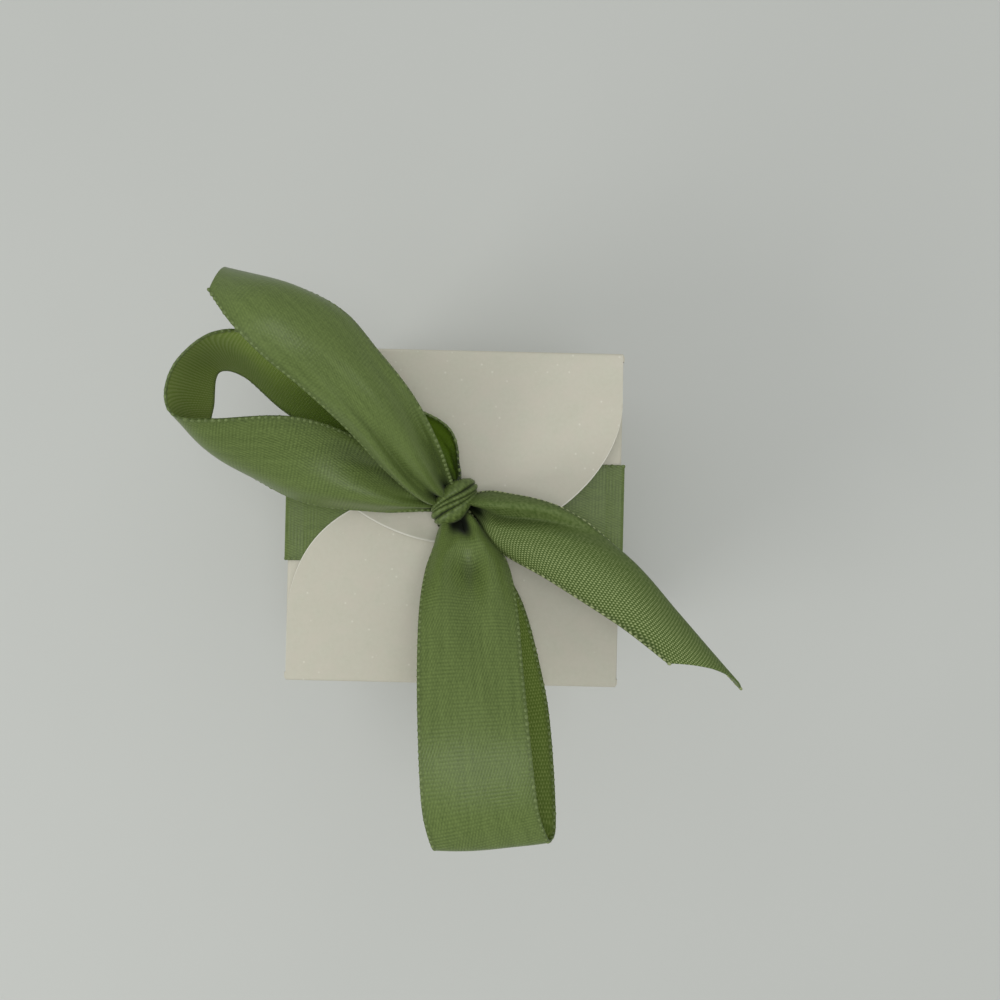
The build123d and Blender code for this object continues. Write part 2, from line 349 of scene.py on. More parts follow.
for body, side in (("left_lid", -1), ("right_lid", 1)):
    name = body.replace("lid", "inner_flap")
    flap = creased_flap(f"{name}_card", SIDE_CREASE,
                        lambda across, inward: (side * (HALF - inward), across), side_outline,
                        lambda x, y: 0.0)
    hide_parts(name)
    bend_with_crease(flap)


# Ribbon band: one length of moss-green satin ribbon, under the base, up both sides and in over the
# side flaps, where it gathers to the middle. Satin outside, matt ribs inside, a beaded selvedge
# along both edges.

RIBBON_WIDE = 15.4 * MM
RIBBON_THICK = 0.3 * MM
RIB, DOT = 0.54, 0.42  # pitch of the weave's ribs, and of the raised dots along a rib, mm
LINING_RIB = 0.42  # pitch of the ribs that show inside the left loop, mm
BEAD_PITCH = 0.95 * MM
BEAD_LONG, BEAD_WIDE, BEAD_TALL = 0.41 * MM, 0.32 * MM, 0.24 * MM  # half sizes
BEAD_VARIES = (0.85, 1.12)  # least and greatest size of a bead, as a share
BEAD_INSET = 0.24  # of the beads' line from the ribbon's edge, mm
# Painted shade: a darker margin along each edge, under and between the selvedge beads
SELVEDGE_WIDE = 0.85  # of the darker margin that carries the beads, mm
SATIN_WEAVE, RIBBED_WEAVE = 0.28, 0.52  # how clearly the ribs show on the tail, and on bands and loops
SOFT_EDGE = 60  # degrees between faces from which ribbon shows a hard edge
SATIN_LOW, SATIN_HIGH = (0.046, 0.074, 0.011, 1), (0.146, 0.204, 0.053, 1)
BACK_LOW, BACK_HIGH = (0.040, 0.076, 0.006, 1), (0.300, 0.360, 0.145, 1)
# Painted light: the inside of the left loop is painted much lighter than the back, standing in for light
# that shines through the thin ribbon
LIT_LINING_LOW, LIT_LINING_HIGH = (0.190, 0.270, 0.046, 1), (0.370, 0.450, 0.145, 1)
# Painted shade: the loop's inside darkens to this behind the knot
LINING_SHADE = (0.080, 0.145, 0.002, 1)
SHADE_LOW, SHADE_HIGH = (0.070, 0.115, 0.010, 1), (0.215, 0.275, 0.068, 1)
BEAD_LOW, BEAD_HIGH = (0.072, 0.106, 0.027, 1), (0.172, 0.225, 0.075, 1)
PALE_LOW, PALE_HIGH = (0.130, 0.170, 0.055, 1), (0.370, 0.410, 0.205, 1)
# Painted shade along the ribbon's very edges, under and between the beads
EDGE_DARK = (0.022, 0.036, 0.007, 1)
# Painted shade: the ribbon darkens towards this in the gathers by the knot, between the knot's strands
# and in the folds' valleys and hollows
PAINTED_SHADE = (0.008, 0.014, 0.003, 1)


def weave_places(start):
    """Return the thread map and its two directions in millimetres: across and along the ribbon."""
    threads = start.node("ShaderNodeUVMap", {"uv_map": "threads"}, {})
    split = start.node("ShaderNodeSeparateXYZ", {}, {0: threads})
    return threads, split, Shade(split.socket.node.outputs[1])


def edge_shade(start, across):
    """Painted shade, one along the ribbon's very edges, fading to nought where the weave proper begins.
    """
    inside = start.math("MINIMUM", across, RIBBON_WIDE / MM - across)
    return (1.05 - inside * (1 / SELVEDGE_WIDE)).clamp()


def painted_shade_mask(start):
    """How much painted shade a place carries, from 0 to 1: in the gathers by the knot and in the folds.
    """
    return start.node("ShaderNodeAttribute", {"attribute_name": "tuck"}, {}, 2)


def wave(place, pitch, wobble):
    return (place * (2 * math.pi / pitch) + wobble).sin()


def satin_material(name, weave):
    """Satin with soft streaks and painted shade in the gathers and folds. weave is how clearly its ribs
    and twill show.
    """
    made, shader, start = new_material(name)
    threads, across, along = weave_places(start)
    streak = threads.stretched((1.3, 0.10, 1)).mottle(1.0, 3.0)
    dash = threads.stretched((2.4, 1.1, 1), 0.45).mottle(1.0, 2.0)
    grain = threads.mottle(2.6, 3.0, 0.7)
    patchy = threads.mottle(0.24, 1.0)
    speckle = threads.mottle(3.6, 2.0, 0.8)
    tuck = painted_shade_mask(start)
    rib = wave(along, RIB, grain * 2.0) * (patchy * 2.4 - 0.75).clamp()
    twill = wave(across * (RIB / DOT) - along * 0.5, RIB, grain * 2.4) * (1.75 - patchy * 2.4).clamp()
    counter = wave(across * (RIB / DOT) + along * 0.5, RIB, grain * 2.4)
    raised = rib * 0.34 + twill * 0.34 + counter * 0.12
    sparkle = (speckle - 0.5) * (tuck * 2.6 + 0.5)
    tone = raised * (tuck * 0.8 + weave) + streak * 0.50 + grain * 0.45 + dash * 0.45 + sparkle - 0.14
    shader.inputs["Specular IOR Level"].default_value = 0.27
    shader.inputs["Sheen Weight"].default_value = 0.05
    colour = start.mix(tone.clamp(), SATIN_LOW, SATIN_HIGH)
    # Painted shade in the gathers and folds, read from the tuck attribute
    colour = start.mix((tuck * 1.7 - 0.55).clamp(), colour, PAINTED_SHADE)
    link(shader, Base_Color=start.mix(edge_shade(start, across) * 0.35, colour, EDGE_DARK),
         Roughness=0.38 + streak * 0.06 - raised * 0.05,
         Normal=(raised + grain * 0.4).bump(0.45, 0.05 * MM))
    return made


def back_material(name, low, high, edge_fade=0.0, start_shade=0.0, pitch=RIB):
    """Matt ribs with raised dots, with painted shade in the gathers and folds. edge_fade is how much
    fainter, and so darker, the dots are towards the map's first edge, as painted shade; start_shade how
    much painted shade darkens the ribbon at the stretch's start, deep behind the knot, and pitch that of
    the ribs."""
    made, shader, start = new_material(name)
    threads, across, along = weave_places(start)
    grain = threads.mottle(2.0, 2.0)
    rib = wave(along, pitch, grain * 1.0)
    dots = wave(along, 2 * pitch, grain * 0.5) * wave(across, DOT, grain * 1.4)
    # Painted shade: the dots fade towards the map's first edge, which leaves that side plainer and
    # darker
    clear = 1 - (1.4 - across * 0.118).clamp() * edge_fade
    raised = (clear * (dots * 0.85 + rib * 0.40) + grain * 0.6 - 0.14).clamp()
    shader.inputs["Specular IOR Level"].default_value = 0.25
    colour = start.mix((raised * 0.95 + 0.04).clamp(), low, high)
    # Painted shade: darker towards the stretch's start, behind the knot
    colour = start.mix((1.55 - along * 0.030).clamp() * start_shade, colour, LINING_SHADE)
    # Painted shade in the gathers and folds, read from the tuck attribute
    colour = start.mix((painted_shade_mask(start) * 1.7 - 0.55).clamp(), colour, PAINTED_SHADE)
    link(shader, Base_Color=start.mix(edge_shade(start, across) * 0.5, colour, EDGE_DARK),
         Roughness=0.68 - raised * 0.2, Normal=raised.bump(0.5, 0.06 * MM))
    return made


def bead_material(name, low, high):
    made, shader, place = new_material(name)
    tone = place.mottle(1600.0, 2.0)
    shader.inputs["Specular IOR Level"].default_value = 0.35
    link(shader, Base_Color=place.mix((tone * 1.8 - 0.35).clamp(), low, high),
         Roughness=0.58 - tone * 0.2, Normal=tone.bump(0.3, 0.05 * MM))
    return made


def ribbon_strip(name, lines, outer, inner, places=None, painted_shades=None):
    """Make a stretch of ribbon from its cross lines. Its outer face is where across turns into along.

    The thread map runs square to the ribbon's edges, also where the cross lines are slanted. places
    gives each column's place across the weave, where folds hide the real edges, and painted_shades how
    much painted shade each point carries, dark in the gathers.
    """
    rows, columns = len(lines), len(lines[0])
    outward = []
    for i, line in enumerate(lines):
        ahead, behind = lines[min(i + 1, rows - 1)], lines[max(i - 1, 0)]
        for j in range(columns):
            across = line[min(j + 1, columns - 1)] - line[max(j - 1, 0)]
            outward.append(across.cross(ahead[j] - behind[j]).normalized())
    middle = [point for line in lines for point in line]
    half_thick = RIBBON_THICK / 2
    points = [p + n * half_thick for p, n in zip(middle, outward)]
    points += [p - n * half_thick for p, n in zip(middle, outward)]
    count = rows * columns
    run = [0.0]
    for before, here in zip(lines, lines[1:]):
        run.append(run[-1] + sum((q - p).length for p, q in zip(before, here)) / columns)
    faces, slots = [], []
    for i in range(rows - 1):
        for j in range(columns - 1):
            a = i * columns + j
            b, c, d = a + 1, a + columns + 1, a + columns
            faces += [(a, b, c, d), (a + count, d + count, c + count, b + count)]
            slots += [0, 1]
        for j, turned in ((0, False), (columns - 1, True)):
            a, d = i * columns + j, (i + 1) * columns + j
            side = (a, d, d + count, a + count)
            faces.append(tuple(reversed(side)) if turned else side)
            slots.append(0)
    for i, turned in ((0, True), (rows - 1, False)):
        for j in range(columns - 1):
            a = i * columns + j
            end = (a, a + 1, a + 1 + count, a + count)
            faces.append(end if not turned else tuple(reversed(end)))
            slots.append(0)
    made = piece(name, points, faces, [outer, inner], slots)
    threads = made.data.uv_layers.new(name="threads")
    wide = RIBBON_WIDE / MM
    centres = [(line[0] + line[-1]) / 2 for line in lines]
    for corner, vertex in zip(threads.data, [v for face in faces for v in face]):
        i, j = divmod(vertex % count, columns)
        ahead = (centres[min(i + 1, rows - 1)] - centres[max(i - 1, 0)]).normalized()
        place = places[j] if places else wide * j / (columns - 1)
        corner.uv = (place, (run[i] + ahead.dot(lines[i][j] - centres[i])) / MM)
    if painted_shades:
        shade_values = [depth for line in painted_shades for depth in line]
        made.data.attributes.new("tuck", "FLOAT", "POINT").data.foreach_set("value", shade_values + shade_values)
    sharpen(made, SOFT_EDGE)
    return made


def bead_tree():
    """Geometry nodes: beads of thread at an even pitch along each edge line, turned to follow it."""
    tree = bpy.data.node_groups.new("selvedge_beads", "GeometryNodeTree")
    face = tree.interface
    face.new_socket("Geometry", in_out="INPUT", socket_type="NodeSocketGeometry")
    for name, value in (("Pitch", BEAD_PITCH), ("Length", BEAD_LONG), ("Width", BEAD_WIDE),
                        ("Height", BEAD_TALL)):
        face.new_socket(name, in_out="INPUT", socket_type="NodeSocketFloat").default_value = value
    face.new_socket("Seed", in_out="INPUT", socket_type="NodeSocketInt").default_value = 3
    face.new_socket("Thread", in_out="INPUT", socket_type="NodeSocketMaterial")
    face.new_socket("Geometry", in_out="OUTPUT", socket_type="NodeSocketGeometry")
    nodes, links = tree.nodes, tree.links
    given, result = nodes.new("NodeGroupInput"), nodes.new("NodeGroupOutput")
    curve = nodes.new("GeometryNodeMeshToCurve")
    spaced = nodes.new("GeometryNodeResampleCurve")
    spaced.mode = "LENGTH"
    bead = nodes.new("GeometryNodeMeshUVSphere")
    bead.inputs["Segments"].default_value = 8
    bead.inputs["Rings"].default_value = 5
    bead.inputs["Radius"].default_value = 1.0
    size = nodes.new("ShaderNodeCombineXYZ")
    tangent = nodes.new("GeometryNodeInputTangent")
    follow = nodes.new("FunctionNodeAlignRotationToVector")
    follow.axis = "X"
    across = nodes.new("GeometryNodeInputNamedAttribute")
    across.data_type = "FLOAT_VECTOR"
    across.inputs["Name"].default_value = "across"
    lay = nodes.new("FunctionNodeAlignRotationToVector")
    lay.axis, lay.pivot_axis = "Y", "X"
    vary = nodes.new("FunctionNodeRandomValue")
    vary.inputs[2].default_value, vary.inputs[3].default_value = BEAD_VARIES
    scale = nodes.new("ShaderNodeVectorMath")
    scale.operation = "SCALE"
    placed = nodes.new("GeometryNodeInstanceOnPoints")
    real = nodes.new("GeometryNodeRealizeInstances")
    soft = nodes.new("GeometryNodeSetShadeSmooth")
    dyed = nodes.new("GeometryNodeSetMaterial")
    for source, target in (
            (given.outputs["Geometry"], curve.inputs[0]), (curve.outputs[0], spaced.inputs["Curve"]),
            (given.outputs["Pitch"], spaced.inputs["Length"]),
            (spaced.outputs[0], placed.inputs["Points"]),
            (bead.outputs["Mesh"], placed.inputs["Instance"]),
            (tangent.outputs[0], follow.inputs["Vector"]), (follow.outputs[0], lay.inputs["Rotation"]),
            (across.outputs[0], lay.inputs["Vector"]), (lay.outputs[0], placed.inputs["Rotation"]),
            (given.outputs["Length"], size.inputs[0]), (given.outputs["Width"], size.inputs[1]),
            (given.outputs["Height"], size.inputs[2]), (given.outputs["Seed"], vary.inputs["Seed"]),
            (size.outputs[0], scale.inputs[0]), (vary.outputs[1], scale.inputs["Scale"]),
            (scale.outputs[0], placed.inputs["Scale"]), (placed.outputs[0], real.inputs[0]),
            (real.outputs[0], soft.inputs[0]), (soft.outputs[0], dyed.inputs["Geometry"]),
            (given.outputs["Thread"], dyed.inputs["Material"]), (dyed.outputs[0], result.inputs[0])):
        links.new(source, target)
    return tree


def selvedge(name, lines, thread, seed):
    """Beads along both edges of a stretch of ribbon, as one plain mesh."""
    rows = len(lines)
    points, sideways = [], []
    for edge, beside in ((0, 1), (-1, -2)):
        for line in lines:
            inward = (line[beside] - line[edge]).normalized()
            points.append(line[edge] + inward * BEAD_INSET * MM)
            sideways.extend(inward)
    edges = [(i, i + 1) for i in range(rows - 1)] + [(i + rows, i + rows + 1) for i in range(rows - 1)]
    mesh = bpy.data.meshes.new(f"{name}_lines")
    mesh.from_pydata(points, edges, [])
    mesh.attributes.new("across", "FLOAT_VECTOR", "POINT").data.foreach_set("vector", sideways)
    made = bpy.data.objects.new(name, mesh)
    bpy.context.collection.objects.link(made)
    modifier = made.modifiers.new("beads", "NODES")
    modifier.node_group = beads
    sockets = {item.name: item.identifier
               for item in beads.interface.items_tree if item.in_out == "INPUT"}
    modifier[sockets["Seed"]] = seed
    modifier[sockets["Thread"]] = thread
    depsgraph = bpy.context.evaluated_depsgraph_get()
    plain = bpy.data.meshes.new_from_object(made.evaluated_get(depsgraph))
    made.modifiers.remove(modifier)
    made.data = plain
    plain.name = name
    return made


def curve_through(rows, steps):
    """Points between rows of numbers, on a curve that passes through each row."""
    rows = [rows[0], *rows, rows[-1]]
    found = []
    for before, here, there, after in zip(rows, rows[1:], rows[2:], rows[3:]):
        for step in range(steps):
            t = step / steps
            found.append([
                q + t * (r - p + t * (2 * p - 5 * q + 4 * r - s + t * (3 * q - p - 3 * r + s))) / 2
                for p, q, r, s in zip(before, here, there, after)])
    return found + [list(rows[-1])]


satin = satin_material("satin_face", SATIN_WEAVE)
ribbed_satin = satin_material("ribbed_satin_face", RIBBED_WEAVE)
back = back_material("satin_back", BACK_LOW, BACK_HIGH)
edge_thread, beads = bead_material("selvedge_thread", BEAD_LOW, BEAD_HIGH), bead_tree()

# Distance out and height of the ribbon's middle, and its half width, from under the base to the middle
BAND_PATH = [
    (0.0, 0.28, 7.7), (14.0, 0.28, 7.7), (26.4, 0.28, 7.7), (27.3, 0.40, 7.7), (27.68, 0.95, 7.7),
    (27.72, 3.0, 7.7), (27.72, 15.0, 7.68), (27.72, 30.0, 7.68), (27.72, 45.0, 7.68), (27.76, 51.0, 7.7),
    (27.98, 53.0, 7.7), (28.12, 53.8, 7.7), (27.98, 54.32, 7.7), (27.5, 54.50, 7.7), (26.6, 54.46, 7.7),
    (25.4, 54.36, 7.7), (24.0, 54.30, 7.7), (16.0, 54.30, 7.6), (8.3, 54.30, 6.8), (4.0, 54.30, 3.6),
    (1.1, 54.30, 2.0)]
BAND_STEPS, BAND_COLUMNS = 6, 24
BAND_HALF = 7.7  # half width where the band isn't gathered, mm
GATHER_DEPTH, GATHER_WAVES = 0.08, 9  # of the fine creases where the band is drawn together
BAND_SLIP = {-1: 0.0, 1: 1.5}  # the band sits a little to the rear on the right, in millimetres
SLIP_HEIGHT, SLIP_OUT = 40, 20  # the slip is full from this height, and this far out, in millimetres
BAND_STAND = {-1: 0.1, 1: 0.4}  # how much of the path's roundness at the top edge each side has
WALL_LINE = 27.72  # out to the band's middle on the walls, mm
for body, side in (("left_lid", -1), ("right_lid", 1)):
    lines = []
    for out, height, half_wide in curve_through(BAND_PATH, BAND_STEPS):
        line = []
        for j in range(BAND_COLUMNS + 1):
            share = -1 + 2 * j / BAND_COLUMNS
            gathered = 1 - half_wide / BAND_HALF
            crease_depth = GATHER_DEPTH * gathered * math.cos(share * GATHER_WAVES * math.pi)
            slip = BAND_SLIP[side] * min(1.0, height / SLIP_HEIGHT) * min(1.0, out / SLIP_OUT)
            stand = max(0.0, out - WALL_LINE) * (BAND_STAND[side] - 1)
            across = slip + side * share * half_wide
            line.append(Vector((side * (out + stand), across, height + crease_depth)) * MM)
        lines.append(line)
    name = body.replace("_lid", "_band")
    band = ribbon_strip(name, lines, ribbed_satin, back)
    trim = selvedge(f"{name}_selvedge", lines, edge_thread, seed=11 + side)
    if side < 0:
        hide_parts("ribbon_left_lead")
    else:
        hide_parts("ribbon_right_lead", "ribbon_wrap")
    for part in (band, trim):
        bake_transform(part)


# Front flap: half-round closing flap of the same card, creased on the front wall, with the punched
# hole that the ribbon comes up through.

FLAP_STRAIGHT = 8.7 * MM
FLAP_CURVE = 23.2 * MM
FLAP_RELIEF = 0.3 * MM  # a half-round flap is this much narrower than the box, on each side
FRONT_FULLNESS = 2.4  # of the flap's curve: an ellipse is 2, and a fuller oval more
HOLE = 3.0 * MM  # radius
PUNCH_SIDES, PUNCH_LONG = 48, 20 * MM


def round_outline(fullness):
    """Straight sides, then half an oval. Columns crowd towards the sides, where it is steep."""
    def outline(share, way):
        across = math.sin(math.radians(90 * share))
        oval = (1 - abs(across) ** fullness) ** (1 / fullness)
        return (HALF - FLAP_RELIEF) * across, FLAP_STRAIGHT + FLAP_CURVE * oval
    return outline


def punch(made, radius):
    """Cut the ribbon's hole through a flap, at the middle of the box."""
    mesh = bmesh.new()
    bmesh.ops.create_cone(mesh, cap_ends=True, segments=PUNCH_SIDES, radius1=radius, radius2=radius,
                          depth=PUNCH_LONG)
    bmesh.ops.translate(mesh, verts=mesh.verts, vec=(0, 0, REAR_CREASE))
    cutter_mesh = bpy.data.meshes.new("punch")
    mesh.to_mesh(cutter_mesh)
    mesh.free()
    cutter = bpy.data.objects.new("punch", cutter_mesh)
    bpy.context.collection.objects.link(cutter)
    cut = made.modifiers.new("hole", "BOOLEAN")
    cut.object, cut.operation, cut.solver = cutter, "DIFFERENCE", "EXACT"
    depsgraph = bpy.context.evaluated_depsgraph_get()
    plain = bpy.data.meshes.new_from_object(made.evaluated_get(depsgraph))
    made.modifiers.remove(cut)
    made.data = plain
    plain.name = made.name
    bpy.data.objects.remove(cutter)
    bpy.data.meshes.remove(cutter_mesh)
    sharpen(made, HARD_EDGE)


def edge_distance(x, y, side):
    """Rough distance in from a half-round flap's curved edge."""
    over = side * y - (HALF - FLAP_STRAIGHT)
    return max(0.0, 1 - math.hypot(x / HALF, min(over, 0) / FLAP_CURVE)) * FLAP_CURVE


def half_round_flap(node, crease, side, fullness, lift):
    """Make the front flap (side -1) or the rear flap (side 1)."""
    made = creased_flap(f"{node}_card", crease,
                        lambda across, inward: (-side * across, side * (HALF - inward)),
                        round_outline(fullness), lift)
    punch(made, HOLE)
    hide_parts(node)
    bend_with_crease(made)


half_round_flap("front_flap", FRONT_CREASE, -1, FRONT_FULLNESS, lambda x, y: 0.0)


# Rear flap: the front flap's twin, creased on the rear wall and punched as well. It is folded over last,
# so its curved edge lies on top, where it curls up a little.

REAR_FULLNESS = 1.84
CURL, CURL_REACH = 1.1 * MM, 3.2 * MM  # height of the curl, and how fast it fades in from the edge
PRESSED_X, PRESSED_Y, PRESSED = 1 * MM, 2 * MM, 9 * MM  # the knot keeps the edge down within this circle


def rear_lift(x, y):
    """Height of the curl at a place: none under the knot or along the crease."""
    clear = min(1.0, max(0.0, math.hypot(x - PRESSED_X, y - PRESSED_Y) / PRESSED - 0.5) * 2)
    past_crease = min(1.0, max(0.0, HALF - y) / FLAP_STRAIGHT)
    return CURL * clear * past_crease ** 2 * math.exp(-edge_distance(x, y, 1) / CURL_REACH)


half_round_flap("rear_flap", REAR_CREASE, 1, REAR_FULLNESS, rear_lift)


# Knot: the same ribbon, pulled tight over the middle in two rope-like strands between two flatter folds
# that fan out at opposite ends. The gathered throat comes up to it through the holes in the flaps.

TOP = REAR_CREASE + CARD_THICK / 2
KNOT = Vector((0.2 * MM, 2.6 * MM, TOP))
KNOT_TURN = math.radians(30)
KNOT_LONG, KNOT_HIGH, KNOT_MIDDLE = 3.6 * MM, 2.5 * MM, 3.6 * MM
STRANDS = (-1.0, -0.36, 0.0, 0.34, 1.0)  # where strands meet, as shares of the wrap's width
STRAND_ROUND = 1.0 * MM
ROPE_HALF = 0.25  # strands narrower than this are round ropes, the others flat folds
ROPE_FULLNESS, FOLD_FULLNESS = 2, 3.2  # of a strand's round top
STRAND_GAP = 0.13  # half the width of the dark gap between two strands, as a share of the wrap's
STRAND_SWAY = 0.10
KNOT_ROWS, KNOT_COLUMNS = 72, 96
KNOT_WRAP = 132  # degrees that the wrap turns down to each side
KNOT_FALL, KNOT_CRUMPLE = 0.9 * MM, 0.12 * MM  # drop towards the wrap's edges, and its small dents
KNOT_WEAVE, KNOT_WEAVE_WIDE = 5, 2.6  # the stretch across the ribbon that shows, mm
KNOT_SHADE = 0.42  # shade on the strands' tops, where the gaps between them have 1
THROAT_LOW, THROAT_HIGH, THROAT_RADIUS = 54.5 * MM, TOP + 4.6 * MM, 2.0 * MM
THROAT_ROWS, THROAT_COLUMNS, THROAT_PLEATS = 14, 84, 7
THROAT_WAIST, PLEAT_DEPTH = 0.14, 0.15  # shares of the throat's radius
run = Vector((math.cos(KNOT_TURN), math.sin(KNOT_TURN), 0))
cross = Vector((-math.sin(KNOT_TURN), math.cos(KNOT_TURN), 0))
up = Vector((0, 0, 1))


def strand_ridge(share, width):
    """Height of the rope-like strand at a share of the width."""
    for low, high in zip(STRANDS, STRANDS[1:]):
        if share <= high:
            middle, half = (low + high) / 2, (high - low) / 2
            fullness = ROPE_FULLNESS if half < ROPE_HALF else FOLD_FULLNESS
            round_off = math.sqrt(max(0.0, 1 - abs(1.06 * (share - middle) / half) ** fullness))
            return round_off * min(half * width * 1.9, STRAND_ROUND)


def fan(way):
    """Half the wrap's width on one side, from where it is drawn in to where it opens."""
    return (0.9 + 2.0 * math.sin(0.75 * math.pi * way)) * MM


lines, painted_shades = [], []
for i in range(KNOT_ROWS + 1):
    angle = math.radians(KNOT_WRAP * (2 * i / KNOT_ROWS - 1))
    s, c = math.sin(angle), math.cos(angle)
    out = (run * s / KNOT_LONG + up * c / KNOT_HIGH).normalized()
    tuck = 1 - 0.45 * max(0.0, -c)
    centre = KNOT + run * (KNOT_LONG * s) + up * (KNOT_MIDDLE + KNOT_HIGH * c)
    line, row_shades = [], []
    for j in range(KNOT_COLUMNS + 1):
        share = -1 + 2 * j / KNOT_COLUMNS
        wide = fan(0.5 + 0.5 * s if share > 0 else 0.5 - 0.5 * s) * tuck
        sway = share + STRAND_SWAY * (1 - share * share) * math.sin(2.2 * angle + 3.0 * share)
        fall = KNOT_FALL * abs(share) ** 2.2
        crumple = KNOT_CRUMPLE * noise.noise(Vector((share * 2.2, angle * 1.4, 3.1)))
        line.append(centre + out * (strand_ridge(sway, wide) - fall + crumple) + cross * (wide * share))
        # Painted shade: the gaps between the strands are painted dark, the strands' tops a little
        gap = min(abs(sway - strand) for strand in STRANDS[1:-1])
        row_shades.append(KNOT_SHADE + (1 - KNOT_SHADE) * max(0.0, 1 - gap / STRAND_GAP))
    lines.append(line)
    painted_shades.append(row_shades)
places = [KNOT_WEAVE + KNOT_WEAVE_WIDE * j / KNOT_COLUMNS for j in range(KNOT_COLUMNS + 1)]
knot = ribbon_strip("bow_knot_wrap", lines, back, satin, places, painted_shades)
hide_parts("bow_knot")

lines = []
for i in range(THROAT_ROWS + 1):
    way = i / THROAT_ROWS
    centre = Vector((0.1 * MM, (0.3 + 2.0 * way) * MM, THROAT_LOW + (THROAT_HIGH - THROAT_LOW) * way))
    drawn_in = min(1.0, 0.06 + 0.5 * i)  # the lower end is gathered shut
    waist = 1 - THROAT_WAIST * math.sin(math.pi * way)
    line = []
    for j in range(THROAT_COLUMNS + 1):
        angle = 2 * math.pi * j / THROAT_COLUMNS
        pleated = 1 + PLEAT_DEPTH * math.cos(THROAT_PLEATS * angle + 0.8)
        radius = THROAT_RADIUS * drawn_in * waist * pleated
        line.append(centre + Vector((math.cos(angle), math.sin(angle), 0)) * radius)
    lines.append(line)
throat = ribbon_strip("bow_throat_ribbon", lines, satin, back)
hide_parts("bow_throat")
for part in (knot, throat):
    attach(part, "rear_lid")


# Left loop: the ribbon stands on its edge, leaves the knot at the rear, turns round in a hairpin
# at the left and comes back in front, satin outside and matt ribs inside.

BOW_STEPS, BOW_COLUMNS = 10, 36
NEAR_KNOT, NEAR_FADE = 3.2, 6.0  # full shade this far from the knot, then fading over this much, mm
PLEAT_SHARE, PLEAT_MOST = 0.16, 0.9  # height of the pleats for the spare width, and at most, mm
SOFT_WAVE, CRUMPLE = 0.16, 0.5  # heights of the ribbon's long waves, and of its dents by the knot, mm
VALLEY_DEPTH, HOLLOW_DEPTH, HOLLOW_SHADE = 1.3, 2.0, 0.55  # depths of full shade, mm, and its strength


def pleat(share, seed):
    """Two uneven waves across the ribbon, about one high."""
    return 0.5 * math.cos(4.4 * share + seed) + 0.5 * math.cos(10.3 * share + 2.3 * seed)


def fold_height(fold, share):
    """Height of a fold's profile, given as (share, height) places, at a share across the ribbon."""
    share = max(-1.0, min(1.0, share))
    for (left, low), (right, high) in zip(fold, fold[1:]):
        if share <= right:
            return low + (high - low) * (0.5 - 0.5 * math.cos(math.pi * (share - left) / (right - left)))


def bow_lines(rows, fold, gather, ends, seed, drift=0.0):
    """Cross lines of one stretch of the bow.

    A row holds the two edge points, the height of the arch between them and the depth of the stretch's
    fold, in millimetres over the box. Where the ribbon is narrower than its cut width it is gathered
    into pleats, up to gather millimetres from an end in the knot. ends has 1 for each end that is.
    drift moves the fold across, per millimetre along. Also returns each point's painted shade: dark in
    the gathers by the knot, in the folds' valleys and in their hollows.
    """
    found = curve_through([(*a, *b, rise, depth) for a, b, rise, depth in rows], BOW_STEPS)
    lift = Vector((0, 0, TOP / MM))
    edges = [(Vector(v[0:3]) + lift, Vector(v[3:6]) + lift, v[6], v[7]) for v in found]
    middles = [(a + b) / 2 for a, b, rise, depth in edges]
    run = [0.0]
    for p, q in zip(middles, middles[1:]):
        run.append(run[-1] + (q - p).length)
    wide = RIBBON_WIDE / MM
    lines, painted_shades = [], []
    for i, (a, b, rise, depth) in enumerate(edges):
        across = b - a
        chord = across.length
        across.normalize()
        along = middles[min(i + 1, len(edges) - 1)] - middles[max(i - 1, 0)]
        out = across.cross(along).normalized()
        arch = chord * (1 + 8 / 3 * (rise / chord) ** 2)
        spare = max(0.0, wide / arch - 1)
        from_end = min([run[i]] * ends[0] + [run[-1] - run[i]] * ends[1])
        fade = max(0.0, 1 - from_end / gather)
        near = max(0.0, min(1.0, 1 - (from_end - NEAR_KNOT) / NEAR_FADE))
        deep = min(PLEAT_MOST, PLEAT_SHARE * arch * math.sqrt(spare)) * fade ** 0.7
        half = chord / 2
        radius = (half * half + rise * rise) / (2 * rise)
        line, row_shades = [], []
        for j in range(BOW_COLUMNS + 1):
            share = -1 + 2 * j / BOW_COLUMNS
            flat_place = share * half
            arched = math.sqrt(max(0.0, radius * radius - flat_place * flat_place)) - (radius - rise)
            creased = depth * fold_height(fold, share - drift * run[i])
            waved = noise.noise(Vector((share * 1.1 + seed, run[i] * 0.11, seed * 2.7)))
            dented = noise.noise(Vector((share * 2.6 - seed, run[i] * 0.33, seed * 1.9)))
            folded = creased + deep * pleat(share, seed) + SOFT_WAVE * waved + CRUMPLE * fade * dented
            line.append((middles[i] + across * flat_place + out * (arched + folded)) * MM)
            # Painted shade: darker near the knot, in the folds' valleys and in their hollows
            valley = max(0.0, min(1.0, 0.45 - folded / VALLEY_DEPTH))
            hollow = min(1.0, max(0.0, -creased) / HOLLOW_DEPTH)
            row_shades.append(max(near * (0.3 + 0.7 * valley), HOLLOW_SHADE * hollow))
        lines.append(line)
        painted_shades.append(row_shades)
    return lines, painted_shades


def bow_piece(node, lines, painted_shades, outer, inner, thread, seed):
    """Make one stretch of the bow with its beads, riding on the rear flap."""
    made = ribbon_strip(f"{node}_ribbon", lines, outer, inner, painted_shades=painted_shades)
    trim = selvedge(f"{node}_selvedge", lines, thread, seed)
    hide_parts(node)
    middle = BOW_COLUMNS // 2
    length = sum((q[middle] - p[middle]).length for p, q in zip(lines, lines[1:]))
    for part in (made, trim):
        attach(part, "rear_lid")


